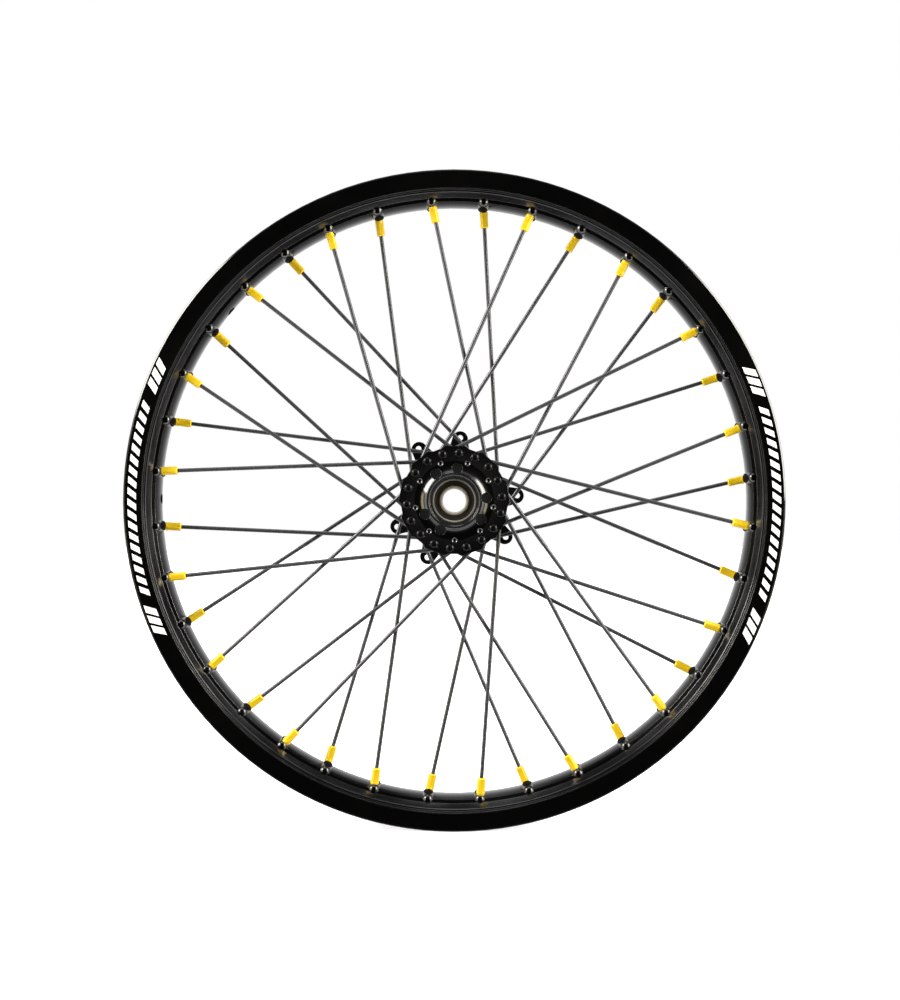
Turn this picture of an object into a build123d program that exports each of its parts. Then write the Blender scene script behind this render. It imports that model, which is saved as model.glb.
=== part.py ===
from build123d import *
import math
import os

# A spoked motorcycle front wheel, 21 inch, 36 spokes, without tyre, disc or axle.
# The wheel turns about +Y, +Z is up, and the origin is the middle of the axle bore.
# The front side is -Y and the rear side, which carries the brake disc lugs, is +Y.
# Angles run from +X towards +Z.

FRONT = -1
REAR = 1
SIDE_NAMES = {FRONT: "front", REAR: "rear"}

# Lacing
SPOKE_COUNT = 36
LACING_PERIOD = 40.0
FIRST_HOLE_ANGLE = 4.65
RIM_HOLE_STEP = 360.0 / SPOKE_COUNT
GROUP_COUNT = 9
LACING_RADIUS = 258.0
HOLE_STAGGER = 0.25
HUB_HOLE_RADIUS = 40.25
OUTER_LEAD = 70.0
INNER_LEAD = 50.0
OUTER_ROW_OFFSET = 8.6
INNER_ROW_OFFSET = 7.4
OUTER_ELBOW_OFFSET = 26.0
INNER_ELBOW_OFFSET = 20.0

# Spokes
SPOKE_RADIUS = 1.68
ELBOW_RADIUS = 1.8
ELBOW_BEND_RADIUS = 2.4
ELBOW_STRAIGHT = 7.0
BUTT_TAPER_LENGTH = 6.0
SPOKE_END_RADIUS = 255.5
HEAD_RADIUS = 3.2
HEAD_HEIGHT = 2.0
HEAD_EDGE_HEIGHT = 0.7
HEAD_SEAT_RADIUS = 3.7
HEAD_SEAT_DEPTH = 0.8
SPOKE_HOLE_RADIUS = 2.05

# Nipples
NIPPLE_TIP_RADIUS = 239.0
NIPPLE_BODY_RADIUS = 3.5
NIPPLE_SHANK_RADIUS = 3.2
NIPPLE_TIP_TAPER = 1.3
NIPPLE_FLAT_WIDTH = 6.2
NIPPLE_FLAT_LENGTH = 10.0
NIPPLE_COLLAR_RADIUS = 3.75
NIPPLE_COLLAR_HEIGHT = 1.2
NIPPLE_BORE_RADIUS = 1.76
NIPPLE_HEAD_RADIUS = 4.0
NIPPLE_HEAD_HEIGHT = 2.6
NIPPLE_HOLE_RADIUS = 3.4

# Rim
RIM_RADIUS = 281.0
RIM_HALF_WIDTH = 25.0
RIM_INNER_HALF_WIDTH = 20.3
BEAD_SEAT_RADIUS = 267.5
WELL_RADIUS = 257.0
BED_CREST_RADIUS = 253.0
BED_EDGE_RADIUS = 256.3
BED_EDGE_OFFSET = 12.0
DIMPLE_CENTRE_RADIUS = 257.3
DIMPLE_HALF_WIDTH = 6.2
DIMPLE_HALF_LENGTH = 14.2
DIMPLE_NOSE_RADIUS = 5.0
NIPPLE_FACE_RADIUS = 252.4
COLLAR_SEAT_RADIUS = 4.05
NIPPLE_SEAT_RADIUS = 4.25
NIPPLE_SEAT_WALL = 3.4
VALVE_HOLE_RADIUS = 4.25
VALVE_HOLE_ANGLE = FIRST_HOLE_ANGLE + 17.5 * RIM_HOLE_STEP
LOCK_HOLE_ANGLE = FIRST_HOLE_ANGLE + 13.5 * RIM_HOLE_STEP

# Rim graphics
GRAPHIC_THICKNESS = 0.15
GRAPHIC_INNER_RADIUS = 269.0
GRAPHIC_OUTER_RADIUS = 278.6
GRAPHIC_HALF_SPAN = 24.8
GRAPHIC_CENTRES = {"right": -1.0, "left": 179.4}

# Hub
FLANGE_RADIUS = 45.0
WEB_RIM_RADIUS = 36.2
FLANGE_FACE = 32.0
FLANGE_THICKNESS = 4.0
EAR_REACH = 46.1
EAR_TOP_HALF_WIDTH = 8.8
EAR_BASE_HALF_WIDTH = 12.8
EAR_BASE_RADIUS = 42.0
EAR_SHIFT = 4.15
INNER_BOSS_RADIUS = 3.3
INNER_BOSS_HEIGHT = 6.0
CONE_FOOT_RADIUS = 33.4
HUB_END = 36.0
HUB_END_RADIUS = 24.0
DISH_TOP = 35.2
DISH_SAG = 0.7
BARREL_RADIUS = 20.5
BARREL_SHOULDER_RADIUS = 23.0
HUB_BORE_RADIUS = 16.5
SEAL_SEAT_RADIUS = 21.0
POCKET_RADIUS = 4.6
POCKET_CIRCLE_RADIUS = 27.2
POCKET_FLOOR = 30.5
SCALLOP_CIRCLE_RADIUS = 33.4
SCALLOP_RADIUS = 3.0
SCALLOP_DEPTH = 1.0
SCALLOP_ANGLE = FIRST_HOLE_ANGLE + 25.75

# Brake disc lugs
LUG_STEPS = (0.0, 80.0, 120.0, 200.0, 240.0, 320.0)
LUG_CIRCLE_RADIUS = 56.0
LUG_TIP_HALF_WIDTH = 7.0
LUG_WAIST_HALF_WIDTH = 8.8
LUG_WAIST_RADIUS = 47.0
LUG_ROOT_RADIUS = 30.0
LUG_ROOT_HALF_WIDTH = 6.5
LUG_FACE = 41.0
LUG_TIP_REACH = 62.0
LUG_HOLE_RADIUS = 2.5
HEAD_ACCESS_RADIUS = 4.3

# Bearings, the common 20 x 37 x 9 size
BEARING_BORE_RADIUS = 10.0
BEARING_RADIUS = 18.5
BEARING_INNER_FACE = 20.0
BEARING_OUTER_FACE = 29.0
INNER_RACE_RADIUS = 12.3
OUTER_RACE_RADIUS = 16.3
BALL_CIRCLE_RADIUS = 14.3
BALL_RADIUS = 2.35
BALL_COUNT = 11
TRACK_RADIUS = 2.42
CAGE_INNER_RADIUS = 13.5
CAGE_OUTER_RADIUS = 15.1
CAGE_HALF_WIDTH = 2.9
CAGE_POCKET_RADIUS = 2.42
SEAL_INSET = 0.15
SEAL_THICKNESS = 0.8
SEAL_LIP_RADIUS = 12.36
SEAL_RIM_RADIUS = 16.9
RACE_EDGE_CHAMFER = 0.35


def polar(radius, degrees, offset=0.0):
    """A point at this distance from the axle, this angle and this place along the axle."""
    turn = math.radians(degrees)
    return Vector(radius * math.cos(turn), offset, radius * math.sin(turn))


def turned(shape, degrees):
    """The shape turned about the axle so that its angle grows by this many degrees."""
    return shape.rotate(Axis.Y, -degrees)


def around(shape, count=GROUP_COUNT):
    """Copies of the shape, evenly spaced about the axle."""
    return [turned(shape, 360.0 * i / count) for i in range(count)]


def lathe(*corners):
    """A solid of revolution about the axle from (radius, offset along the axle) corners."""
    return revolve(make_face(Polyline(*corners, close=True)), Axis.Y)


def tube(inner, outer, start, end):
    """A plain ring about the axle between two offsets."""
    return lathe((inner, start), (outer, start), (outer, end), (inner, end))


def drill(radius, point, direction, length):
    """A cylinder that starts at the point and runs along the direction."""
    foot = (Align.CENTER, Align.CENTER, Align.MIN)
    return Plane(origin=point, z_dir=direction) * Cylinder(radius, length, align=foot)


class Lacing:
    """The line of one family of spokes: first rim hole, side, and how it meets the hub."""

    def __init__(self, name, step, side, is_outer, turn):
        self.name = name
        self.side = side
        lead = OUTER_LEAD if is_outer else INNER_LEAD
        elbow = OUTER_ELBOW_OFFSET if is_outer else INNER_ELBOW_OFFSET
        row = OUTER_ROW_OFFSET if is_outer else INNER_ROW_OFFSET
        self.step = step
        even_angle = FIRST_HOLE_ANGLE + RIM_HOLE_STEP * step
        self.rim_angle = even_angle + turn * HOLE_STAGGER
        self.hub_angle = even_angle + turn * lead
        self.corner = polar(HUB_HOLE_RADIUS, self.hub_angle, side * elbow)
        self.rim_point = polar(LACING_RADIUS, self.rim_angle, side * row)
        self.direction = (self.rim_point - self.corner).normalized()

    def point_at(self, radius):
        """The point of the spoke's straight run at this distance from the axle."""
        run = self.direction
        start = self.rim_point
        a = run.X**2 + run.Z**2
        b = start.X * run.X + start.Z * run.Z
        c = start.X**2 + start.Z**2 - radius**2
        return start + run * ((-b + math.sqrt(b * b - a * c)) / a)


LACINGS = [
    Lacing("rear_outer", 0, REAR, True, -1),
    Lacing("front_inner", 1, FRONT, False, -1),
    Lacing("rear_inner", 2, REAR, False, 1),
    Lacing("front_outer", 3, FRONT, True, 1),
]


def spoke(lacing):
    """A butted spoke: domed head, elbow, thick neck, taper and thin run into the nipple."""
    outward = Vector(0, lacing.side, 0)
    seat = FLANGE_FACE - HEAD_SEAT_DEPTH
    head_base = polar(HUB_HOLE_RADIUS, lacing.hub_angle, lacing.side * seat)
    neck_end = lacing.corner + lacing.direction * ELBOW_STRAIGHT
    path = FilletPolyline(head_base, lacing.corner, neck_end, radius=ELBOW_BEND_RADIUS)
    neck = sweep(Plane(origin=path @ 0, z_dir=path % 0) * Circle(ELBOW_RADIUS), path=path)
    foot = (Align.CENTER, Align.CENTER, Align.MIN)
    taper = Plane(origin=neck_end, z_dir=lacing.direction) * Cone(
        ELBOW_RADIUS, SPOKE_RADIUS, BUTT_TAPER_LENGTH, align=foot
    )
    thin_start = neck_end + lacing.direction * BUTT_TAPER_LENGTH
    thin_length = (lacing.point_at(SPOKE_END_RADIUS) - thin_start).length
    thin = drill(SPOKE_RADIUS, thin_start, lacing.direction, thin_length)
    dome_height = HEAD_HEIGHT - HEAD_EDGE_HEIGHT
    dome_radius = (dome_height**2 + HEAD_RADIUS**2) / (2 * dome_height)
    dome = Pos(0, 0, HEAD_HEIGHT - dome_radius) * Sphere(dome_radius)
    head = Plane(origin=head_base, z_dir=outward) * (
        Cylinder(HEAD_RADIUS, HEAD_HEIGHT, align=foot) & dome
    )
    return neck + taper + thin + head


def nipple(lacing):
    """A gold nipple: headed on the tyre side, with flats, a collar and a tapered tip."""
    face = lacing.point_at(NIPPLE_FACE_RADIUS)
    tip = lacing.point_at(NIPPLE_TIP_RADIUS)
    visible = (face - tip).length
    head_foot = visible + NIPPLE_SEAT_WALL
    top = head_foot + NIPPLE_HEAD_HEIGHT
    corners = (
        (NIPPLE_BORE_RADIUS, 0),
        (NIPPLE_BODY_RADIUS - 0.7, 0),
        (NIPPLE_BODY_RADIUS, NIPPLE_TIP_TAPER),
        (NIPPLE_BODY_RADIUS, visible - NIPPLE_COLLAR_HEIGHT),
        (NIPPLE_COLLAR_RADIUS, visible - NIPPLE_COLLAR_HEIGHT + 0.3),
        (NIPPLE_COLLAR_RADIUS, visible - 0.1),
        (NIPPLE_SHANK_RADIUS, visible - 0.1),
        (NIPPLE_SHANK_RADIUS, head_foot),
        (NIPPLE_HEAD_RADIUS, head_foot),
        (NIPPLE_HEAD_RADIUS, head_foot + 1.2),
        (NIPPLE_HEAD_RADIUS - 1.4, top),
        (NIPPLE_BORE_RADIUS, top),
    )
    body = revolve(Plane.XZ * make_face(Polyline(*corners, close=True)), Axis.Z)
    foot = (Align.CENTER, Align.CENTER, Align.MIN)
    wide = 4 * NIPPLE_BODY_RADIUS
    flats = Box(wide, wide, NIPPLE_FLAT_LENGTH, align=foot) - Box(
        NIPPLE_FLAT_WIDTH, NIPPLE_FLAT_WIDTH, NIPPLE_FLAT_LENGTH, align=foot
    )
    return Plane(origin=tip, z_dir=lacing.direction) * (body - flats)


def rim_outside():
    """The rim as if its tyre channel were filled, from the lip down to the spoke bed."""
    half = [
        (RIM_RADIUS - 0.9, RIM_INNER_HALF_WIDTH + 1.0),
        (RIM_RADIUS, RIM_INNER_HALF_WIDTH + 2.2),
        (RIM_RADIUS, RIM_HALF_WIDTH - 1.5),
        (RIM_RADIUS - 0.5, RIM_HALF_WIDTH - 0.5),
        (RIM_RADIUS - 1.6, RIM_HALF_WIDTH),
        (265.8, RIM_HALF_WIDTH),
        (265.0, RIM_HALF_WIDTH - 0.25),
        (264.6, RIM_HALF_WIDTH - 0.9),
        (264.5, 20.9),
        (264.2, 20.4),
        (262.9, 20.3),
        (262.6, 20.0),
        (262.5, 18.6),
        (262.2, 18.2),
        (259.2, 13.6),
        (BED_EDGE_RADIUS, BED_EDGE_OFFSET),
    ]
    upper = [(r, y) for r, y in half]
    lower = [(r, -y) for r, y in reversed(half)]
    outline = (
        Polyline(*upper)
        + ThreePointArc(upper[-1], (BED_CREST_RADIUS, 0), lower[0])
        + Polyline(*lower)
        + Line(lower[-1], upper[0])
    )
    return revolve(make_face(outline), Axis.Y)


def tyre_channel():
    """The room for the tyre: bead seats, well slopes and well, open at the rim's edge."""
    half = [
        (RIM_RADIUS + 2.0, RIM_INNER_HALF_WIDTH + 3.2),
        (RIM_RADIUS - 0.9, RIM_INNER_HALF_WIDTH + 1.0),
        (RIM_RADIUS - 2.6, RIM_INNER_HALF_WIDTH),
        (BEAD_SEAT_RADIUS + 2.4, RIM_INNER_HALF_WIDTH),
        (BEAD_SEAT_RADIUS + 0.7, RIM_INNER_HALF_WIDTH - 0.7),
        (BEAD_SEAT_RADIUS, RIM_INNER_HALF_WIDTH - 2.4),
        (BEAD_SEAT_RADIUS - 0.4, 15.2),
        (WELL_RADIUS + 6.2, 12.4),
        (WELL_RADIUS + 1.6, 10.2),
        (WELL_RADIUS, 7.6),
    ]
    mirrored = [(r, -y) for r, y in reversed(half)]
    return lathe(*half, *mirrored)


def dimple(lacing):
    """The oval dome, across the spoke bed, that the rim is pressed into at one nipple."""
    nose = DIMPLE_NOSE_RADIUS
    reach = DIMPLE_HALF_LENGTH - nose
    spare = DIMPLE_HALF_WIDTH - nose
    crown = (reach**2 + DIMPLE_HALF_WIDTH**2 - nose**2) / (2 * spare)
    lean = math.atan2(crown - DIMPLE_HALF_WIDTH, reach)
    join = (reach + nose * math.cos(lean), nose * math.sin(lean))
    middle = (reach + nose * math.cos(lean / 2), nose * math.sin(lean / 2))
    tip = (DIMPLE_HALF_LENGTH, 0)
    outline = (
        ThreePointArc(tip, middle, join)
        + ThreePointArc(join, (0, DIMPLE_HALF_WIDTH), (-join[0], join[1]))
        + ThreePointArc((-join[0], join[1]), (-middle[0], middle[1]), (-tip[0], 0))
        + Line((-tip[0], 0), tip)
    )
    centre = polar(DIMPLE_CENTRE_RADIUS, lacing.rim_angle)
    inward = polar(-1, lacing.rim_angle)
    dome = revolve(make_face(outline), Axis.X)
    return Plane(origin=centre, x_dir=(0, 1, 0), z_dir=inward) * dome


def rim():
    """The whole rim with dimples, nipple holes and seats, valve hole and rim-lock hole."""
    body = rim_outside()
    dimples = []
    cuts = []
    for lacing in LACINGS:
        face = lacing.point_at(NIPPLE_FACE_RADIUS)
        run = lacing.direction
        seat = face + run * NIPPLE_SEAT_WALL
        dimples += around(dimple(lacing))
        cuts += around(drill(COLLAR_SEAT_RADIUS, face, -run, 8))
        cuts += around(drill(NIPPLE_HOLE_RADIUS, face, run, 12))
        cuts += around(drill(NIPPLE_SEAT_RADIUS, seat, run, 12))
    for angle in (VALVE_HOLE_ANGLE, LOCK_HOLE_ANGLE):
        start = polar(BED_CREST_RADIUS - 6, angle)
        cuts.append(drill(VALVE_HOLE_RADIUS, start, polar(1, angle), 16))
    return (body + dimples) - [tyre_channel()] - cuts


def graphic(side, centre):
    """A thin film on the side band of the rim."""
    inner = side * RIM_HALF_WIDTH
    outer = side * (RIM_HALF_WIDTH + GRAPHIC_THICKNESS)
    span = 2 * GRAPHIC_HALF_SPAN
    face = make_face(
        Polyline(
            (GRAPHIC_INNER_RADIUS, inner),
            (GRAPHIC_OUTER_RADIUS, inner),
            (GRAPHIC_OUTER_RADIUS, outer),
            (GRAPHIC_INNER_RADIUS, outer),
            close=True,
        )
    )
    strip = revolve(face, Axis.Y, revolution_arc=span)
    middle = math.degrees(math.atan2(strip.center().Z, strip.center().X))
    return turned(strip, centre - middle)


def flange_outline(side, ear_angle):
    """The outline of a spoke flange: a disc with nine flat-topped ears."""
    start = side * (FLANGE_FACE - FLANGE_THICKNESS)
    end = side * FLANGE_FACE
    disc = tube(HUB_BORE_RADIUS + 4, FLANGE_RADIUS, start, end)
    ear = prism(
        [
            (EAR_BASE_RADIUS - 6, -EAR_BASE_HALF_WIDTH),
            (EAR_BASE_RADIUS, -EAR_BASE_HALF_WIDTH),
            (EAR_REACH, -EAR_TOP_HALF_WIDTH),
            (EAR_REACH, EAR_TOP_HALF_WIDTH),
            (EAR_BASE_RADIUS, EAR_BASE_HALF_WIDTH),
            (EAR_BASE_RADIUS - 6, EAR_BASE_HALF_WIDTH),
        ],
        start,
        end,
    )
    return disc + around(turned(ear, ear_angle))


def prism(corners, start, end):
    """A prism along the axle from (x, z) corners, between two offsets."""
    low = min(start, end)
    high = max(start, end)
    plane = Plane(origin=(0, high, 0), x_dir=(1, 0, 0), z_dir=(0, -1, 0))
    return plane * extrude(make_face(Polyline(*corners, close=True)), high - low)


def lug():
    """One brake disc lug on the rear flange, pointing along +X, before it is drilled."""
    tip_centre = LUG_CIRCLE_RADIUS - 1.0
    outline = [
        (LUG_ROOT_RADIUS, -LUG_ROOT_HALF_WIDTH),
        (LUG_WAIST_RADIUS, -LUG_WAIST_HALF_WIDTH),
        (tip_centre, -LUG_TIP_HALF_WIDTH),
        (tip_centre, LUG_TIP_HALF_WIDTH),
        (LUG_WAIST_RADIUS, LUG_WAIST_HALF_WIDTH),
        (LUG_ROOT_RADIUS, LUG_ROOT_HALF_WIDTH),
    ]
    arm = prism(outline, FLANGE_FACE - FLANGE_THICKNESS, LUG_FACE)
    tip_start = Vector(tip_centre, FLANGE_FACE - FLANGE_THICKNESS, 0)
    height = LUG_FACE - FLANGE_FACE + FLANGE_THICKNESS
    tip = drill(LUG_TIP_HALF_WIDTH, tip_start, (0, 1, 0), height)
    envelope = lathe(
        (LUG_ROOT_RADIUS, FLANGE_FACE - 1),
        (CONE_FOOT_RADIUS, FLANGE_FACE + 1),
        (LUG_WAIST_RADIUS - 3, LUG_FACE),
        (LUG_TIP_REACH, LUG_FACE),
        (LUG_TIP_REACH, FLANGE_FACE),
        (LUG_WAIST_RADIUS, FLANGE_FACE),
        (LUG_WAIST_RADIUS, FLANGE_FACE - FLANGE_THICKNESS),
        (LUG_ROOT_RADIUS, FLANGE_FACE - FLANGE_THICKNESS),
    )
    return (arm + tip) & envelope


def hub_core():
    """The turned middle of the hub: barrel, flange webs, dished ends, bearing seats."""
    web_foot = FLANGE_FACE - FLANGE_THICKNESS
    bearing_seat = [
        (HUB_BORE_RADIUS, BEARING_INNER_FACE),
        (BEARING_RADIUS, BEARING_INNER_FACE),
        (BEARING_RADIUS, BEARING_OUTER_FACE),
        (SEAL_SEAT_RADIUS, BEARING_OUTER_FACE),
        (SEAL_SEAT_RADIUS, HUB_END - 0.6),
        (SEAL_SEAT_RADIUS + 0.6, HUB_END),
        (HUB_END_RADIUS - 0.6, HUB_END),
        (HUB_END_RADIUS, HUB_END - 0.6),
        (HUB_END_RADIUS + 0.4, DISH_TOP),
    ]
    web = [
        (CONE_FOOT_RADIUS, FLANGE_FACE),
        (WEB_RIM_RADIUS, FLANGE_FACE),
        (WEB_RIM_RADIUS, web_foot),
        (BARREL_SHOULDER_RADIUS + 3, web_foot - 4.0),
        (BARREL_SHOULDER_RADIUS, web_foot - 8.0),
        (BARREL_RADIUS + 0.6, 12.0),
        (BARREL_RADIUS, 8.0),
    ]
    dish_middle = (
        (bearing_seat[-1][0] + web[0][0]) / 2 - DISH_SAG / 3,
        (bearing_seat[-1][1] + web[0][1]) / 2 - DISH_SAG,
    )
    quarter = (
        Polyline(*bearing_seat)
        + ThreePointArc(bearing_seat[-1], dish_middle, web[0])
        + Polyline(*web)
        + Polyline(web[-1], (BARREL_RADIUS, 0), (HUB_BORE_RADIUS, 0), bearing_seat[0])
    )
    half = revolve(make_face(quarter), Axis.Y)
    return half + mirror(half, Plane.XZ)


def hub_shell():
    """The whole hub shell, one machined piece."""
    shapes = []
    cuts = []
    for lacing in LACINGS:
        side = lacing.side
        outward = Vector(0, side, 0)
        hole_start = polar(HUB_HOLE_RADIUS, lacing.hub_angle, side * 18)
        cuts += around(drill(SPOKE_HOLE_RADIUS, hole_start, outward, 20))
        seat = FLANGE_FACE - HEAD_SEAT_DEPTH
        seat_start = polar(HUB_HOLE_RADIUS, lacing.hub_angle, side * seat)
        cuts += around(drill(HEAD_SEAT_RADIUS, seat_start, outward, HEAD_SEAT_DEPTH + 1))
        if side == REAR:
            access = polar(HUB_HOLE_RADIUS, lacing.hub_angle, FLANGE_FACE)
            cuts += around(drill(HEAD_ACCESS_RADIUS, access, outward, 12))
        if "inner" in lacing.name:
            lowest = FLANGE_FACE - FLANGE_THICKNESS - INNER_BOSS_HEIGHT
            boss_start = polar(HUB_HOLE_RADIUS, lacing.hub_angle, side * lowest)
            boss_height = INNER_BOSS_HEIGHT + 1
            shapes += around(drill(INNER_BOSS_RADIUS, boss_start, outward, boss_height))
            turn = 1 if side == FRONT else -1
            shapes.append(flange_outline(side, lacing.hub_angle + turn * EAR_SHIFT))
    for step in LUG_STEPS:
        angle = FIRST_HOLE_ANGLE + step
        shapes.append(turned(lug(), angle))
        start = polar(LUG_CIRCLE_RADIUS, angle, FLANGE_FACE - FLANGE_THICKNESS - 1)
        cuts.append(drill(LUG_HOLE_RADIUS, start, (0, 1, 0), LUG_FACE))
        pocket = polar(POCKET_CIRCLE_RADIUS, angle, -POCKET_FLOOR)
        cuts.append(drill(POCKET_RADIUS, pocket, (0, -1, 0), 8))
    ball_height = FLANGE_FACE + SCALLOP_RADIUS - SCALLOP_DEPTH
    ball_place = polar(SCALLOP_CIRCLE_RADIUS, SCALLOP_ANGLE, -ball_height)
    cuts += around(Pos(ball_place) * Sphere(SCALLOP_RADIUS))
    return (hub_core() + shapes) - cuts


def race_track(side):
    """The ring that the balls run through, cut from both races."""
    middle = side * (BEARING_INNER_FACE + BEARING_OUTER_FACE) / 2
    ring = Torus(BALL_CIRCLE_RADIUS, TRACK_RADIUS)
    return Plane(origin=(0, middle, 0), z_dir=(0, 1, 0)) * ring


def outer_race(side):
    """A bearing's outer ring, with steps that hold both seals."""
    step = SEAL_INSET + SEAL_THICKNESS
    low = BEARING_INNER_FACE
    high = BEARING_OUTER_FACE
    cut = RACE_EDGE_CHAMFER
    corners = [
        (OUTER_RACE_RADIUS, low + step),
        (SEAL_RIM_RADIUS, low + step),
        (SEAL_RIM_RADIUS, low),
        (BEARING_RADIUS - cut, low),
        (BEARING_RADIUS, low + cut),
        (BEARING_RADIUS, high - cut),
        (BEARING_RADIUS - cut, high),
        (SEAL_RIM_RADIUS, high),
        (SEAL_RIM_RADIUS, high - step),
        (OUTER_RACE_RADIUS, high - step),
    ]
    return lathe(*[(r, side * y) for r, y in corners]) - race_track(side)


def inner_race(side):
    """A bearing's inner ring."""
    low = BEARING_INNER_FACE
    high = BEARING_OUTER_FACE
    cut = RACE_EDGE_CHAMFER
    corners = [
        (BEARING_BORE_RADIUS, low),
        (INNER_RACE_RADIUS, low),
        (INNER_RACE_RADIUS, high - cut),
        (INNER_RACE_RADIUS - cut, high),
        (BEARING_BORE_RADIUS + cut, high),
        (BEARING_BORE_RADIUS, high - cut),
    ]
    return lathe(*[(r, side * y) for r, y in corners]) - race_track(side)


def ball_places(side):
    """The centres of one bearing's balls."""
    middle = side * (BEARING_INNER_FACE + BEARING_OUTER_FACE) / 2
    step = 360.0 / BALL_COUNT
    return [polar(BALL_CIRCLE_RADIUS, step * i, middle) for i in range(BALL_COUNT)]


def balls(side):
    """One bearing's balls, as separate solids."""
    return Compound(children=[Pos(place) * Sphere(BALL_RADIUS) for place in ball_places(side)])


def cage(side):
    """The ring that keeps one bearing's balls apart."""
    middle = side * (BEARING_INNER_FACE + BEARING_OUTER_FACE) / 2
    ring = tube(
        CAGE_INNER_RADIUS,
        CAGE_OUTER_RADIUS,
        middle - CAGE_HALF_WIDTH,
        middle + CAGE_HALF_WIDTH,
    )
    step = 360.0 / BALL_COUNT
    start = polar(CAGE_INNER_RADIUS - 1, 0, middle)
    pockets = [
        turned(drill(CAGE_POCKET_RADIUS, start, (1, 0, 0), 4), step * i)
        for i in range(BALL_COUNT)
    ]
    return ring - pockets


def seal(side, face, inward):
    """A rubber seal held in the outer race, just clear of the inner race."""
    start = side * (face + inward * SEAL_INSET)
    end = side * (face + inward * (SEAL_INSET + SEAL_THICKNESS))
    return tube(SEAL_LIP_RADIUS, SEAL_RIM_RADIUS, start, end)


def write(shape, node):
    """Writes one node's solids."""
    export_step(shape, f"parts/{node}.step")


def main():
    os.makedirs("parts", exist_ok=True)
    write(rim(), "rim")
    write(hub_shell(), "hub_shell")
    for lacing in LACINGS:
        first_spoke = spoke(lacing)
        for group in range(GROUP_COUNT):
            number = lacing.step + 4 * group + 1
            write(turned(first_spoke, LACING_PERIOD * group), f"spoke_{number:02d}")
        write(Compound(children=around(nipple(lacing))), f"nipples_{lacing.name}")
    for side, name in SIDE_NAMES.items():
        write(outer_race(side), f"{name}_bearing_outer_race")
        write(inner_race(side), f"{name}_bearing_inner_race")
        write(balls(side), f"{name}_bearing_balls")
        write(cage(side), f"{name}_bearing_cage")
        write(seal(side, BEARING_OUTER_FACE, -1), f"{name}_bearing_outer_seal")
        write(seal(side, BEARING_INNER_FACE, 1), f"{name}_bearing_inner_seal")
        for place, centre in GRAPHIC_CENTRES.items():
            write(graphic(side, centre), f"rim_graphic_{name}_{place}")
    spacer = tube(
        BEARING_BORE_RADIUS, INNER_RACE_RADIUS, -BEARING_INNER_FACE, BEARING_INNER_FACE
    )
    write(spacer, "bearing_spacer_tube")


main()
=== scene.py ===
import math
import random

import bmesh
import bpy
from mathutils import Matrix, Vector


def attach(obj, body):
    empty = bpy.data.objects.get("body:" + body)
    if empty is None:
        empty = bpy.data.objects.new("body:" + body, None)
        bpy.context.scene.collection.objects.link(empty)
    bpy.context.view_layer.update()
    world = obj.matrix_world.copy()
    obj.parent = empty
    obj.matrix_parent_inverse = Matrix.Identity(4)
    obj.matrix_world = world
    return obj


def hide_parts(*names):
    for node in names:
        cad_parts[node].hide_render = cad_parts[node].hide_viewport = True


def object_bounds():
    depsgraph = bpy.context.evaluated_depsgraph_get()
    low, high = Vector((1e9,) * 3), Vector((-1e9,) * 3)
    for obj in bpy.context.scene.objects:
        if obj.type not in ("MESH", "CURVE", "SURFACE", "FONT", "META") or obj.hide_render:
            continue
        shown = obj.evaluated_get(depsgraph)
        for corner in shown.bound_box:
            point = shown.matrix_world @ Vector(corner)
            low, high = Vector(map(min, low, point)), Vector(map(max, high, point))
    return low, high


# The looks of a spoked motorcycle front wheel. Lengths in the sub-part functions are
# millimetres in the wheel's own frame: the axle along Y, +Z up, the front side at -Y.
# Angles run from +X towards +Z.

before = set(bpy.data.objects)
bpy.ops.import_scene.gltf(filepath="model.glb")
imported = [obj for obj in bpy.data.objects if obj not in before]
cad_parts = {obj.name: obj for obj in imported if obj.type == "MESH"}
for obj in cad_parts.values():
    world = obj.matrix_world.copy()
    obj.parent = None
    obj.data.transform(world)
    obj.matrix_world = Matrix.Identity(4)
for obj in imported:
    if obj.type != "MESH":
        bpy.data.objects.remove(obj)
CAD_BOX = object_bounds()

MM = 0.001
FRONT = -1
REAR = 1
SIDES = {"front": FRONT, "rear": REAR}
WHEEL_BODY = "wheel"

# Lacing, as on the CAD wheel
FIRST_HOLE_ANGLE = 4.65
HOLE_STEP = 10.0
GROUP_COUNT = 9
GROUP_STEP = 360.0 / GROUP_COUNT
LACING_RADIUS = 258.0
HOLE_STAGGER = 0.25
HUB_HOLE_RADIUS = 40.25
OUTER_LEAD = 70.0
INNER_LEAD = 50.0
OUTER_ROW = 8.6
INNER_ROW = 7.4
OUTER_ELBOW = 26.0
INNER_ELBOW = 20.0

# Rim: the crest of the spoke bed, inside which only the dimples reach
BED_CREST_RADIUS = 253.0
CROWN_MATTNESS = 0.55
CROWN_SPECULAR = 0.02

# Nipples
NIPPLE_TIP_RADIUS = 239.0
NIPPLE_FACE_RADIUS = 252.4
NIPPLE_SEAT_WALL = 3.4
NIPPLE_CORNER_RADIUS = 3.72
NIPPLE_FLAT = 3.3
NIPPLE_BORE = 1.72
NIPPLE_SHANK_RADIUS = 3.1
NIPPLE_HEAD_RADIUS = 3.95
NIPPLE_HEAD_HEIGHT = 2.5
NIPPLE_SLOT_WIDTH = 1.1
NIPPLE_SLOT_DEPTH = 1.3
NIPPLE_SEGMENTS = 64
NIPPLE_SHARP_DEGREES = 24.0
NIPPLE_SPIN_DEGREES = 18.0
NO_FLAT = 9.0
SPIN_SEED = 7

# Spokes: where the black heads begin along the axle
SPOKE_HEAD_START = 27.5
SPOKE_HEAD_FADE = 1.5

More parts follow.
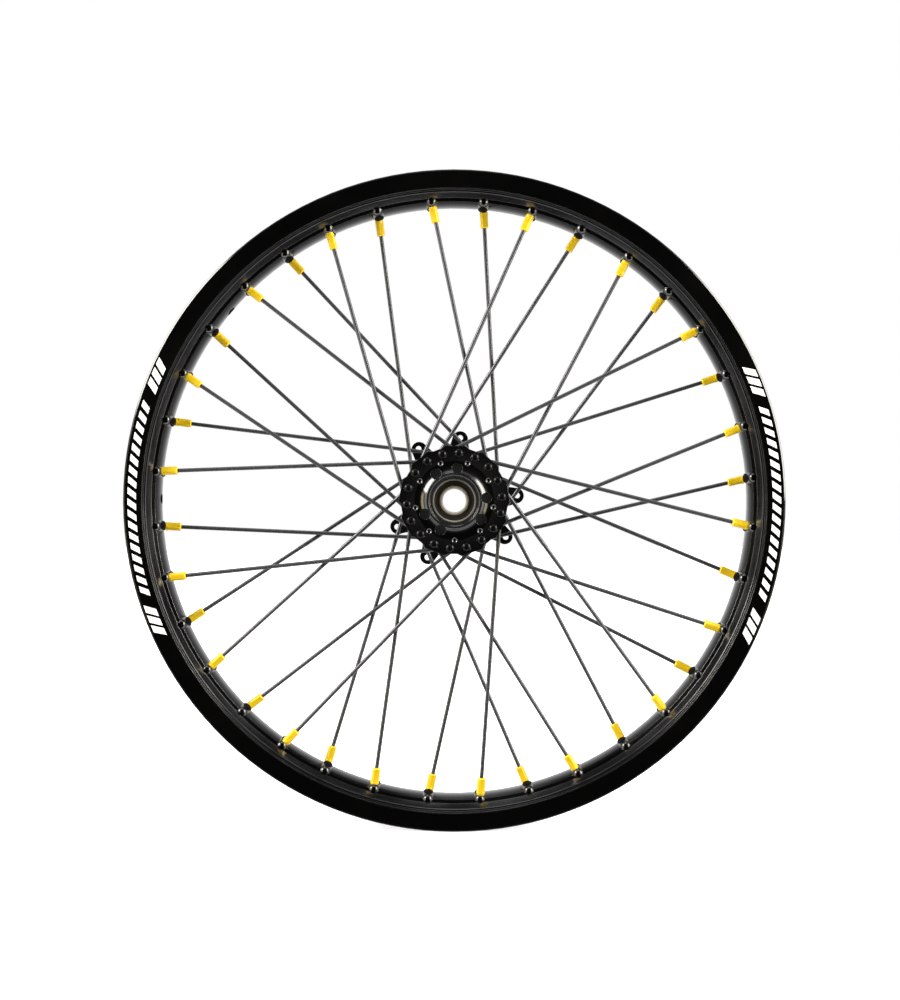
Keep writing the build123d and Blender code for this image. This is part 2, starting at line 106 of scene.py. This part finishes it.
# Bearings
BEARING_OUTER_FACE = 29.0
BEARING_INNER_FACE = 20.0
SEAL_RECESS = 0.15
SEAL_SEGMENTS = 144

# Edges sharper than this stay crisp on turned pieces and prints
SHARP_DEGREES = 30.0

# Rim graphics; angles are in degrees from the band's middle
PRINT_LEVEL = 25.02
PRINT_THICKNESS = 0.1
PRINT_INNER_RADIUS = 268.6
PRINT_OUTER_RADIUS = 277.8
PRINT_CENTRES = {"right": 0.1, "left": 180.25}
BAR_SLANT = -1.38
BAR_STEPS_PER_DEGREE = 3
END_BARS = ((19.75, 21.1), (21.6, 22.95), (23.45, 24.8))
DASH_SLANT = -1.1
DASH_WIDTH = 1.15
DASH_STEP = 1.95
DASH_COUNT = 18
DASH_MARGIN = 1.0


def polar(radius, degrees, offset=0.0):
    """A point in metres from a distance to the axle, an angle and a place along it."""
    turn = math.radians(degrees)
    return Vector((radius * math.cos(turn), offset, radius * math.sin(turn))) * MM


class Lacing:
    """The line of one family of nine spokes."""

    def __init__(self, name, step, side, lead, row, elbow):
        self.name = name
        even_angle = FIRST_HOLE_ANGLE + HOLE_STEP * step
        rim_angle = even_angle + math.copysign(HOLE_STAGGER, lead)
        hub_angle = even_angle + lead
        self.rim_point = polar(LACING_RADIUS, rim_angle, side * row)
        corner = polar(HUB_HOLE_RADIUS, hub_angle, side * elbow)
        self.direction = (self.rim_point - corner).normalized()

    def point_at(self, radius):
        """The point of the straight run at this distance from the axle."""
        run = self.direction
        start = self.rim_point
        a = run.x ** 2 + run.z ** 2
        b = start.x * run.x + start.z * run.z
        c = start.x ** 2 + start.z ** 2 - (radius * MM) ** 2
        return start + run * ((-b + math.sqrt(b * b - a * c)) / a)


LACINGS = [
    Lacing("rear_outer", 0, REAR, -OUTER_LEAD, OUTER_ROW, OUTER_ELBOW),
    Lacing("front_inner", 1, FRONT, -INNER_LEAD, INNER_ROW, INNER_ELBOW),
    Lacing("rear_inner", 2, REAR, INNER_LEAD, INNER_ROW, INNER_ELBOW),
    Lacing("front_outer", 3, FRONT, OUTER_LEAD, OUTER_ROW, OUTER_ELBOW),
]


# ---------------------------------------------------------------- materials


# The sockets of a colour Mix node
MIX_FACTOR = 0
MIX_FIRST = 6
MIX_SECOND = 7
MIX_RESULT = 2

BEVEL_SAMPLES = 6
DEFAULT_SPECULAR = 0.5
BLACK_EDGE_RADIUS = 0.4


class NodeWorks:
    """Short ways to build a node tree."""

    def __init__(self, tree):
        self.tree = tree

    def node(self, kind, **inputs):
        """A node of this kind; inputs are numbers, colours or other nodes' outputs."""
        made = self.tree.nodes.new(kind)
        for name, value in inputs.items():
            self.plug(made.inputs[name.replace("_", " ")], value)
        return made

    def plug(self, socket, value):
        """Links an output to the socket, or sets its value."""
        if isinstance(value, bpy.types.NodeSocket):
            self.tree.links.new(value, socket)
        else:
            socket.default_value = value

    def math(self, operation, first, second=0.0):
        """One scalar operation."""
        made = self.tree.nodes.new("ShaderNodeMath")
        made.operation = operation
        self.plug(made.inputs[0], first)
        self.plug(made.inputs[1], second)
        return made.outputs[0]

    def ramp(self, factor, low, high, start=0.3, end=0.7):
        """Maps a factor to a range, softly."""
        made = self.node("ShaderNodeMapRange", Value=factor)
        made.interpolation_type = "SMOOTHSTEP"
        for name, value in (
            ("From Min", start),
            ("From Max", end),
            ("To Min", low),
            ("To Max", high),
        ):
            made.inputs[name].default_value = value
        return made.outputs["Result"]


class Surface(NodeWorks):
    """A Principled material and what its node tree is built of."""

    def __init__(self, name, **sockets):
        self.material = bpy.data.materials.new(name)
        self.material.use_nodes = True
        super().__init__(self.material.node_tree)
        self.shader = self.tree.nodes["Principled BSDF"]
        for socket, value in sockets.items():
            self.shader.inputs[socket.replace("_", " ")].default_value = value
        coordinates = self.tree.nodes.new("ShaderNodeTexCoord")
        self.place = coordinates.outputs["Object"]
        self.normal = None

    def paint(self, **values):
        """Plugs values or outputs into the shader's own sockets."""
        for name, value in values.items():
            self.plug(self.shader.inputs[name.replace("_", " ")], value)

    def noise(self, scale, detail=4.0, roughness=0.55, vector=None):
        """Noise over the surface; scale is in features per metre."""
        made = self.node(
            "ShaderNodeTexNoise",
            Vector=vector or self.place,
            Scale=scale,
            Detail=detail,
            Roughness=roughness,
        )
        return made.outputs["Fac"]

    def blend(self, factor, first, second):
        """A colour between two colours."""
        made = self.tree.nodes.new("ShaderNodeMix")
        made.data_type = "RGBA"
        self.plug(made.inputs[MIX_FACTOR], factor)
        self.plug(made.inputs[MIX_FIRST], first)
        self.plug(made.inputs[MIX_SECOND], second)
        return made.outputs[MIX_RESULT]

    def radius(self):
        """The distance from the axle in metres."""
        flat = self.tree.nodes.new("ShaderNodeVectorMath")
        flat.operation = "MULTIPLY"
        self.plug(flat.inputs[0], self.place)
        flat.inputs[1].default_value = (1.0, 0.0, 1.0)
        length = self.tree.nodes.new("ShaderNodeVectorMath")
        length.operation = "LENGTH"
        self.plug(length.inputs[0], flat.outputs[0])
        return length.outputs["Value"]

    def along_axle(self):
        """The place along the axle in metres."""
        split = self.node("ShaderNodeSeparateXYZ", Vector=self.place)
        return split.outputs["Y"]

    def rounded(self, radius):
        """Shades sharp edges as if they had this radius in metres."""
        made = self.tree.nodes.new("ShaderNodeBevel")
        made.samples = BEVEL_SAMPLES
        made.inputs["Radius"].default_value = radius
        self.normal = made.outputs["Normal"]

    def bump(self, height, distance, strength):
        """Adds relief; distance is the height of a full step in metres."""
        made = self.node(
            "ShaderNodeBump", Height=height, Distance=distance, Strength=strength
        )
        if self.normal is not None:
            self.plug(made.inputs["Normal"], self.normal)
        self.normal = made.outputs["Normal"]

    def done(self):
        """Connects the relief and gives the material."""
        if self.normal is not None:
            self.plug(self.shader.inputs["Normal"], self.normal)
        return self.material

    def lathe_marks(self, pitch):
        """A factor that changes only across turning marks this far apart in metres."""
        radial = self.node("ShaderNodeCombineXYZ", X=self.radius(), Y=self.along_axle())
        return self.noise(1.0 / pitch, 3.0, 0.7, radial.outputs["Vector"])


def black_anodised(name, gloss_low, gloss_high, matt_below=None):
    """Hard black anodised aluminium with faint turning marks and handling marks.

    Inside the radius matt_below, in metres, the finish is matt.
    """
    surface = Surface(name, Metallic=0.0, IOR=1.75)
    cloud = surface.noise(18.0)
    fine = surface.noise(900.0, 2.0)
    colour = surface.blend(cloud, (0.0008, 0.0008, 0.0009, 1), (0.0024, 0.0024, 0.0022, 1))
    surface.paint(Base_Color=colour)
    gloss = surface.math("ADD", cloud, surface.math("MULTIPLY", fine, 0.35))
    roughness = surface.ramp(gloss, gloss_low, gloss_high, 0.4, 0.95)
    if matt_below is not None:
        crown = surface.ramp(
            surface.radius(), 1.0, 0.0, matt_below - 0.3 * MM, matt_below - 0.1 * MM
        )
        level = surface.ramp(crown, DEFAULT_SPECULAR, CROWN_SPECULAR, 0.0, 1.0)
        surface.paint(Specular_IOR_Level=level)
        roughness = surface.math(
            "ADD", roughness, surface.math("MULTIPLY", crown, CROWN_MATTNESS)
        )
    surface.paint(Roughness=roughness)
    surface.rounded(BLACK_EDGE_RADIUS * MM)
    surface.bump(surface.lathe_marks(0.6 * MM), 0.002 * MM, 0.1)
    return surface.done()


def spoke_coating_painted_sheen():
    """Black-coated drawn steel whose bodies get a grey base colour as painted sheen, with a
    fine mottle; the heads, at the flanges, are black.
    """
    surface = Surface("spoke_black", IOR=1.6)
    cloud = surface.noise(45.0)
    fine = surface.noise(700.0, 2.0)
    # Painted sheen: the spoke bodies' grey base colour stands in for light on the black
    # coating
    colour = surface.blend(cloud, (0.080, 0.081, 0.090, 1), (0.115, 0.116, 0.128, 1))
    reach = surface.math("ABSOLUTE", surface.along_axle())
    head_start = SPOKE_HEAD_START * MM
    head_full = (SPOKE_HEAD_START + SPOKE_HEAD_FADE) * MM
    at_head = surface.ramp(reach, 0.0, 1.0, head_start, head_full)
    surface.paint(
        Base_Color=surface.blend(at_head, colour, (0.004, 0.004, 0.004, 1)),
        Metallic=surface.ramp(at_head, 0.45, 0.0, 0.0, 1.0),
    )
    sheen = surface.ramp(fine, 0.25, 0.29)
    surface.paint(
        Roughness=surface.math("SUBTRACT", sheen, surface.math("MULTIPLY", at_head, 0.1)),
        Specular_IOR_Level=surface.ramp(at_head, DEFAULT_SPECULAR, 0.12, 0.0, 1.0),
    )
    return surface.done()


def gold_anodised_painted_glow():
    """Yellow-gold anodised aluminium with a faint mottle, brightened by a painted glow in its
    own colour.
    """
    # Painted light: the emission makes the nipples glow in their own colour, though they are
    # no lamp
    surface = Surface("nipple_gold", Metallic=0.1, IOR=1.5, Emission_Strength=0.14)
    cloud = surface.noise(120.0)
    colour = surface.blend(cloud, (1.0, 0.66, 0.014, 1), (1.0, 0.70, 0.020, 1))
    surface.paint(
        Base_Color=colour,
        Emission_Color=colour,
        Roughness=surface.ramp(cloud, 0.30, 0.34),
    )
    return surface.done()


def ground_steel(name, metallic, colour_low, colour_high, rough_low, rough_high):
    """Ground bearing steel with circular grinding marks."""
    surface = Surface(name, Metallic=metallic)
    marks = surface.lathe_marks(0.25 * MM)
    rings = surface.ramp(surface.lathe_marks(0.9 * MM), 0.0, 1.0, 0.35, 0.62)
    surface.paint(
        Base_Color=surface.blend(rings, colour_low, colour_high),
        Roughness=surface.ramp(marks, rough_low, rough_high),
    )
    surface.bump(marks, 0.006 * MM, 0.6)
    return surface.done()


def seal_rubber():
    """Dark moulded rubber, slightly dusty."""
    surface = Surface("seal_rubber", IOR=1.5)
    cloud = surface.noise(500.0)
    grain = surface.noise(6000.0, 2.0)
    surface.paint(
        Base_Color=surface.blend(cloud, (0.011, 0.008, 0.006, 1), (0.024, 0.017, 0.013, 1)),
        Roughness=surface.ramp(grain, 0.42, 0.62),
    )
    surface.bump(grain, 0.015 * MM, 0.6)
    return surface.done()


def white_print_painted_glow():
    """White printed film with a faint mottle, brightened by a painted glow in its own colour.
    """
    # Painted light: the emission makes the print glow in its own colour, though it is no lamp
    surface = Surface("print_white", IOR=1.45, Emission_Strength=0.55)
    mottle = surface.noise(700.0)
    colour = surface.blend(mottle, (0.84, 0.84, 0.83, 1), (0.93, 0.93, 0.92, 1))
    surface.paint(
        Base_Color=colour,
        Roughness=surface.ramp(mottle, 0.30, 0.45),
        Emission_Color=colour,
    )
    surface.bump(mottle, 0.006 * MM, 0.5)
    return surface.done()


def pale_floor():
    """An evenly lit white studio floor that still takes a soft shadow."""
    surface = Surface("floor_white", Roughness=0.9, Emission_Strength=0.85)
    mottle = surface.noise(2.0)
    colour = surface.blend(mottle, (0.90, 0.90, 0.90, 1), (0.93, 0.93, 0.93, 1))
    surface.paint(Base_Color=colour, Emission_Color=colour)
    return surface.done()


# ---------------------------------------------------------------- mesh helpers


def add_object(name, mesh, material):
    """Links a new object that shows this mesh in this material."""
    thing = bpy.data.objects.new(name, mesh)
    bpy.context.scene.collection.objects.link(thing)
    mesh.materials.append(material)
    return thing


def finish_bmesh(shape, name, sharp_degrees):
    """A mesh from the bmesh, smooth except over edges sharper than the angle."""
    bmesh.ops.recalc_face_normals(shape, faces=shape.faces)
    limit = math.radians(sharp_degrees)
    for face in shape.faces:
        face.smooth = True
    for edge in shape.edges:
        edge.smooth = len(edge.link_faces) == 2 and edge.calc_face_angle() < limit
    mesh = bpy.data.meshes.new(name)
    shape.to_mesh(mesh)
    shape.free()
    return mesh


def ring_strip(shape, rings, closed=False):
    """Quads between successive rings of the same number of vertices."""
    pairs = list(zip(rings, rings[1:]))
    if closed:
        pairs.append((rings[-1], rings[0]))
    for low, high in pairs:
        count = len(low)
        for i in range(count):
            j = (i + 1) % count
            shape.faces.new((low[i], low[j], high[j], high[i]))


def lathe_mesh(name, profile, segments):
    """A closed profile of (radius, offset) in millimetres turned about the axle."""
    shape = bmesh.new()
    rings = []
    for radius, offset in profile:
        rings.append(
            [
                shape.verts.new(polar(radius, 360.0 * i / segments, offset))
                for i in range(segments)
            ]
        )
    ring_strip(shape, rings, closed=True)
    return finish_bmesh(shape, name, SHARP_DEGREES)


# ---------------------------------------------------------------- nipples


def nipple_stations(visible):
    """(height, corner radius, flat) of the nipple: up its outside, then down its bore."""
    collar = visible - 1.5
    seat = visible + NIPPLE_SEAT_WALL
    return [
        (0.0, 2.60, NO_FLAT),
        (0.12, 2.88, NO_FLAT),
        (0.45, 3.22, NO_FLAT),
        (0.85, 3.50, 3.36),
        (1.15, NIPPLE_CORNER_RADIUS, NIPPLE_FLAT),
        (collar - 1.25, NIPPLE_CORNER_RADIUS, NIPPLE_FLAT),
        (collar - 0.95, NIPPLE_CORNER_RADIUS, NIPPLE_FLAT + 0.05),
        (collar - 0.75, 3.56, 3.42),
        (collar - 0.45, 3.52, NO_FLAT),
        (collar - 0.20, 3.56, NO_FLAT),
        (collar, 3.66, NO_FLAT),
        (collar + 0.15, 3.68, NO_FLAT),
        (collar + 0.4, 3.72, NO_FLAT),
        (visible - 0.35, 3.72, NO_FLAT),
        (visible - 0.12, 3.66, NO_FLAT),
        (visible - 0.05, 3.40, NO_FLAT),
        (visible, NIPPLE_SHANK_RADIUS, NO_FLAT),
        (seat - 0.1, NIPPLE_SHANK_RADIUS, NO_FLAT),
        (seat, NIPPLE_SHANK_RADIUS + 0.1, NO_FLAT),
        (seat, NIPPLE_HEAD_RADIUS - 0.2, NO_FLAT),
        (seat + 0.15, NIPPLE_HEAD_RADIUS, NO_FLAT),
        (seat + 1.1, NIPPLE_HEAD_RADIUS, NO_FLAT),
        (seat + 1.6, NIPPLE_HEAD_RADIUS - 0.25, NO_FLAT),
        (seat + 2.1, NIPPLE_HEAD_RADIUS - 0.8, NO_FLAT),
        (seat + NIPPLE_HEAD_HEIGHT, NIPPLE_HEAD_RADIUS - 1.6, NO_FLAT),
        (seat + NIPPLE_HEAD_HEIGHT, NIPPLE_BORE, NO_FLAT),
        (0.0, NIPPLE_BORE, NO_FLAT),
    ]


def slot_cutter(top):
    """The block that cuts the driver slot into the head's top."""
    slot = bmesh.new()
    bmesh.ops.create_cube(slot, size=1.0)
    size = (NIPPLE_SLOT_WIDTH, 3 * NIPPLE_HEAD_RADIUS, 2 * NIPPLE_SLOT_DEPTH)
    bmesh.ops.scale(slot, verts=slot.verts, vec=size)
    bmesh.ops.translate(slot, verts=slot.verts, vec=(0, 0, top))
    mesh = bpy.data.meshes.new("slot_cutter")
    slot.to_mesh(mesh)
    slot.free()
    cutter = bpy.data.objects.new("slot_cutter", mesh)
    bpy.context.scene.collection.objects.link(cutter)
    return cutter


def nipple_template(visible):
    """One nipple along +Z from its tip, in millimetres, with a driver slot."""
    shape = bmesh.new()
    top = visible + NIPPLE_SEAT_WALL + NIPPLE_HEAD_HEIGHT
    rings = []
    for height, corner, flat in nipple_stations(visible):
        ring = []
        for i in range(NIPPLE_SEGMENTS):
            turn = 2 * math.pi * i / NIPPLE_SEGMENTS
            reach = max(abs(math.cos(turn)), abs(math.sin(turn)))
            radius = min(corner, flat / reach)
            ring.append(
                shape.verts.new((radius * math.cos(turn), radius * math.sin(turn), height))
            )
        rings.append(ring)
    ring_strip(shape, rings, closed=True)
    mesh = finish_bmesh(shape, "nipple_blank", NIPPLE_SHARP_DEGREES)
    blank = bpy.data.objects.new("nipple_blank", mesh)
    bpy.context.scene.collection.objects.link(blank)
    cutter = slot_cutter(top)
    cut = blank.modifiers.new("slot", "BOOLEAN")
    cut.operation = "DIFFERENCE"
    cut.solver = "EXACT"
    cut.object = cutter
    graph = bpy.context.evaluated_depsgraph_get()
    result = bpy.data.meshes.new_from_object(blank.evaluated_get(graph))
    for thing in (blank, cutter):
        bpy.data.objects.remove(thing)
    return result


def nipple_group(lacing, material, template, spin):
    """The nine nipples of one family of spokes, as one piece."""
    shape = bmesh.new()
    tip = lacing.point_at(NIPPLE_TIP_RADIUS)
    across = Vector((0, 1, 0)).cross(lacing.direction).normalized()
    other = lacing.direction.cross(across)
    stand = Matrix((across, other, lacing.direction)).transposed().to_4x4()
    for i in range(GROUP_COUNT):
        around = Matrix.Rotation(-math.radians(GROUP_STEP * i), 4, "Y")
        own_degrees = spin.uniform(-NIPPLE_SPIN_DEGREES, NIPPLE_SPIN_DEGREES)
        own_turn = Matrix.Rotation(math.radians(own_degrees), 4, "Z")
        before = len(shape.verts)
        shape.from_mesh(template)
        shape.verts.ensure_lookup_table()
        place = around @ Matrix.Translation(tip) @ stand @ own_turn @ Matrix.Scale(MM, 4)
        bmesh.ops.transform(shape, matrix=place, verts=shape.verts[before:])
    mesh = finish_bmesh(shape, f"nipples_{lacing.name}_mesh", NIPPLE_SHARP_DEGREES)
    piece = add_object(f"nipples_{lacing.name}_detailed", mesh, material)
    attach(piece, WHEEL_BODY)
    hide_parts(f"nipples_{lacing.name}")


# ---------------------------------------------------------------- seals


def seal_profile(side, face, inward):
    """A moulded seal's section: outer bead, sunken web and lip, inside the CAD ring."""
    def y(depth):
        return side * (face + inward * (SEAL_RECESS + depth))

    return [
        (16.88, y(0.10)),
        (16.70, y(0.0)),
        (15.95, y(0.0)),
        (15.75, y(0.06)),
        (15.60, y(0.30)),
        (13.75, y(0.30)),
        (13.60, y(0.26)),
        (13.42, y(0.04)),
        (13.20, y(0.0)),
        (12.75, y(0.0)),
        (12.50, y(0.08)),
        (12.40, y(0.25)),
        (12.40, y(0.70)),
        (12.60, y(0.79)),
        (16.70, y(0.79)),
        (16.88, y(0.70)),
    ]


def seal(name, side, face, inward, material):
    """One bearing seal, in place of its plain CAD ring."""
    node = f"{name}_seal"
    mesh = lathe_mesh(f"{node}_mesh", seal_profile(side, face, inward), SEAL_SEGMENTS)
    piece = add_object(f"{node}_moulded", mesh, material)
    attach(piece, WHEEL_BODY)
    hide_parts(node)


# ---------------------------------------------------------------- rim graphics


def bar(shape, side, start, end, slant, inner, outer):
    """One slanted bar of film on the side band, between two angles."""
    steps = max(2, int(abs(end - start) * BAR_STEPS_PER_DEGREE))
    level = side * PRINT_LEVEL
    top = side * (PRINT_LEVEL + PRINT_THICKNESS)
    rings = []
    for i in range(steps + 1):
        angle = start + (end - start) * i / steps
        rings.append(
            [
                shape.verts.new(polar(inner, angle, level)),
                shape.verts.new(polar(inner, angle, top)),
                shape.verts.new(polar(outer, angle + slant, top)),
                shape.verts.new(polar(outer, angle + slant, level)),
            ]
        )
    ring_strip(shape, rings)
    shape.faces.new(rings[0])
    shape.faces.new(rings[-1])


def rim_print(side_name, part, material):
    """The white marks of one band: three bars at each end, plain dashes between."""
    side = SIDES[side_name]
    centre = PRINT_CENTRES[part]
    first_dash = centre - DASH_STEP * (DASH_COUNT - 1) / 2 - DASH_WIDTH / 2
    shape = bmesh.new()
    for start, end in END_BARS:
        bar(shape, side, centre + start, centre + end, BAR_SLANT,
            PRINT_INNER_RADIUS, PRINT_OUTER_RADIUS)
        bar(shape, side, centre - end, centre - start, BAR_SLANT,
            PRINT_INNER_RADIUS, PRINT_OUTER_RADIUS)
    for i in range(DASH_COUNT):
        start = first_dash + DASH_STEP * i
        bar(shape, side, start, start + DASH_WIDTH, DASH_SLANT,
            PRINT_INNER_RADIUS + DASH_MARGIN, PRINT_OUTER_RADIUS - DASH_MARGIN)
    mesh = finish_bmesh(shape, f"rim_print_{side_name}_{part}_mesh", SHARP_DEGREES)
    piece = add_object(f"rim_print_{side_name}_{part}", mesh, material)
    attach(piece, WHEEL_BODY)
    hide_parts(f"rim_graphic_{side_name}_{part}")


# ---------------------------------------------------------------- stage


# Lengths of the stage are metres.
CAMERA_DISTANCE = 1.150
LENS = 47.83
SENSOR_WIDTH = 36.0
SHIFT_X = -0.00435
SHIFT_Y = 0.0006
CLIP_START = 0.01
CLIP_END = 60.0
FLOOR_SIZE = 14.0
FLOOR_CELLS = 8
WHITE = (1.0, 1.0, 1.0)
CREAM_TINT = (1.0, 0.96, 0.88)
WARM_TINT = (1.0, 0.86, 0.55)

# Name, place, width, height, radiance and tint of each soft light
SOFTBOXES = (
    ("key_left", (-1.5, -0.75, 0.9), 0.9, 0.9, 15.0, CREAM_TINT),
    ("fill_right", (1.5, -0.75, 0.6), 0.6, 1.2, 13.0, CREAM_TINT),
    ("panel_left", (-1.25, -0.95, -0.1), 0.40, 0.8, 4.0, WARM_TINT),
    ("panel_right", (1.25, -0.95, -0.1), 0.40, 0.8, 4.0, WARM_TINT),
    ("lens_light", (0.0, -1.25, 0.0), 0.06, 0.06, 1.6, WHITE),
)


def add_camera():
    """Head-on, on the axle's line."""
    data = bpy.data.cameras.new("camera")
    data.lens = LENS
    data.sensor_width = SENSOR_WIDTH
    data.shift_x = SHIFT_X
    data.shift_y = SHIFT_Y
    data.clip_start = CLIP_START
    data.clip_end = CLIP_END
    camera = bpy.data.objects.new("camera", data)
    camera.location = (0.0, -CAMERA_DISTANCE, 0.0)
    camera.rotation_euler = (math.radians(90.0), 0.0, 0.0)
    bpy.context.scene.collection.objects.link(camera)
    bpy.context.scene.camera = camera


def add_floor(material):
    """The pale floor that the rim stands on."""
    shape = bmesh.new()
    bmesh.ops.create_grid(
        shape, x_segments=FLOOR_CELLS, y_segments=FLOOR_CELLS, size=FLOOR_SIZE / 2
    )
    mesh = bpy.data.meshes.new("floor_mesh")
    shape.to_mesh(mesh)
    shape.free()
    floor = add_object("floor", mesh, material)
    floor.location = (0.0, 0.0, CAD_BOX[0].z)
    floor.visible_glossy = False
    floor.visible_diffuse = False


def add_softbox(name, place, width, height, radiance, tint):
    """A soft rectangular light that faces the hub; radiance 1 is paper white."""
    data = bpy.data.lights.new(name, "AREA")
    data.shape = "RECTANGLE"
    data.size = width
    data.size_y = height
    data.energy = radiance * math.pi * width * height
    data.color = tint
    light = bpy.data.objects.new(name, data)
    light.location = place
    light.rotation_euler = (-Vector(place)).to_track_quat("-Z", "Y").to_euler()
    light.visible_camera = False
    bpy.context.scene.collection.objects.link(light)


# Brightness of the room by direction along the axle: from in front of the wheel,
# through its sides, to behind it.
ROOM_STEPS = [
    (-1.0, 0.006),
    (-0.86, 0.010),
    (-0.60, 0.02),
    (-0.42, 0.25),
    (-0.20, 3.6),
    (0.0, 2.2),
    (0.20, 2.3),
    (0.30, 0.25),
    (0.50, 0.4),
    (0.75, 0.9),
    (0.90, 1.3),
]
ROOM_PEAK = 3.6

# Brightness of the room by bearing around the axle, in degrees from +X towards +Z: an
# open lower half and a dark ceiling with three bright panels.
CEILING_STEPS = [
    (-180.0, 1.0),
    (0.0, 1.0),
    (50.0, 1.0),
    (56.0, 0.05),
    (78.0, 0.05),
    (84.0, 1.2),
    (106.0, 1.2),
    (112.0, 0.05),
    (123.0, 0.05),
    (130.0, 1.1),
    (172.0, 1.1),
    (180.0, 1.0),
]
CEILING_PEAK = 1.2
CEILING_FRONT_LEVEL = 0.45


class Room(NodeWorks):
    """The world's node tree."""

    def steps(self, value, low, high, levels, peak):
        """A level read from a list of (value, level) pairs between low and high."""
        place = self.node("ShaderNodeMapRange", Value=value)
        place.inputs["From Min"].default_value = low
        place.inputs["From Max"].default_value = high
        ramp = self.node("ShaderNodeValToRGB", Fac=place.outputs["Result"])
        marks = ramp.color_ramp.elements
        while len(marks) < len(levels):
            marks.new(0.5)
        for mark, (at, level) in zip(marks, levels):
            mark.position = (at - low) / (high - low)
            mark.color = (level / peak, level / peak, level / peak, 1)
        return self.math("MULTIPLY", ramp.outputs["Color"], peak)


def add_world():
    """White for the camera. For other rays a studio, bright beside and behind the wheel."""
    world = bpy.data.worlds.new("studio")
    bpy.context.scene.world = world
    world.use_nodes = True
    world.node_tree.nodes.clear()
    room = Room(world.node_tree)
    path = room.node("ShaderNodeLightPath")
    direction = room.node("ShaderNodeTexCoord")
    split = room.node("ShaderNodeSeparateXYZ", Vector=direction.outputs["Generated"])
    depth = split.outputs["Y"]
    along = room.steps(depth, -1.0, 1.0, ROOM_STEPS, ROOM_PEAK)
    bearing = room.math("ARCTAN2", split.outputs["Z"], split.outputs["X"])
    bearings = [(math.radians(at), level) for at, level in CEILING_STEPS]
    around = room.steps(bearing, -math.pi, math.pi, bearings, CEILING_PEAK)
    front = room.ramp(depth, CEILING_FRONT_LEVEL, 0.0, -0.15, 0.0)
    behind = room.ramp(depth, 0.0, 1.0, 0.35, 0.60)
    ceiling = room.math("MAXIMUM", room.math("MAXIMUM", around, front), behind)
    studio = room.node("ShaderNodeBackground", Strength=room.math("MULTIPLY", along, ceiling))
    studio.inputs["Color"].default_value = (*WHITE, 1.0)
    white = room.node("ShaderNodeBackground", Strength=1.0)
    white.inputs["Color"].default_value = (*WHITE, 1.0)
    choose = room.node("ShaderNodeMixShader", Fac=path.outputs["Is Camera Ray"])
    output = room.node("ShaderNodeOutputWorld")
    room.tree.links.new(studio.outputs["Background"], choose.inputs[1])
    room.tree.links.new(white.outputs["Background"], choose.inputs[2])
    room.tree.links.new(choose.outputs["Shader"], output.inputs["Surface"])


# The material of a CAD node by how its name begins or ends
MATERIAL_BY_START = {
    "rim_graphic": "print",
    "rim": "rim",
    "hub": "hub",
    "spoke_": "spoke",
    "nipples_": "nipple",
    "bearing_spacer": "spacer",
}
MATERIAL_BY_END = {"_race": "race", "_balls": "ball", "_cage": "cage", "_seal": "seal"}


def material_name(node):
    """The key of the material that this CAD node wears."""
    for start, key in MATERIAL_BY_START.items():
        if node.startswith(start):
            return key
    for end, key in MATERIAL_BY_END.items():
        if node.endswith(end):
            return key
    raise ValueError(f"no material for {node}")


def dress_cad_nodes(materials):
    """Gives every carried-over CAD node its material."""
    for name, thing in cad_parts.items():
        thing.data.materials.clear()
        thing.data.materials.append(materials[material_name(name)])


def make_materials():
    """Every material of the wheel, by a short key."""
    return {
        "rim": black_anodised("rim_black", 0.08, 0.18, BED_CREST_RADIUS * MM),
        "hub": black_anodised("hub_black", 0.09, 0.18),
        "spoke": spoke_coating_painted_sheen(),
        "nipple": gold_anodised_painted_glow(),
        "race": ground_steel(
            "race_steel", 0.5, (0.34, 0.32, 0.25, 1), (0.92, 0.90, 0.80, 1), 0.20, 0.34
        ),
        "ball": ground_steel(
            "ball_steel", 1.0, (0.80, 0.80, 0.80, 1), (0.86, 0.86, 0.86, 1), 0.06, 0.12
        ),
        "cage": ground_steel(
            "cage_steel", 1.0, (0.40, 0.39, 0.37, 1), (0.52, 0.50, 0.47, 1), 0.30, 0.45
        ),
        "spacer": ground_steel(
            "spacer_aluminium", 0.8, (0.60, 0.60, 0.61, 1), (0.70, 0.70, 0.71, 1), 0.28, 0.42
        ),
        "seal": seal_rubber(),
        "print": white_print_painted_glow(),
    }


def visible_nipple_length():
    """How far a nipple stands out of the rim, in millimetres."""
    lacing = LACINGS[0]
    tip = lacing.point_at(NIPPLE_TIP_RADIUS)
    return (lacing.point_at(NIPPLE_FACE_RADIUS) - tip).length / MM


def main():
    """Dresses the wheel and sets the stage."""
    materials = make_materials()
    dress_cad_nodes(materials)
    spin = random.Random(SPIN_SEED)
    template = nipple_template(visible_nipple_length())
    for lacing in LACINGS:
        nipple_group(lacing, materials["nipple"], template, spin)
    for side_name, side in SIDES.items():
        seal(f"{side_name}_bearing_outer", side, BEARING_OUTER_FACE, -1, materials["seal"])
        seal(f"{side_name}_bearing_inner", side, BEARING_INNER_FACE, 1, materials["seal"])
        for part in PRINT_CENTRES:
            rim_print(side_name, part, materials["print"])
    add_floor(pale_floor())
    for softbox in SOFTBOXES:
        add_softbox(*softbox)
    add_world()
    add_camera()
    bpy.context.scene.view_settings.view_transform = "Standard"


main()
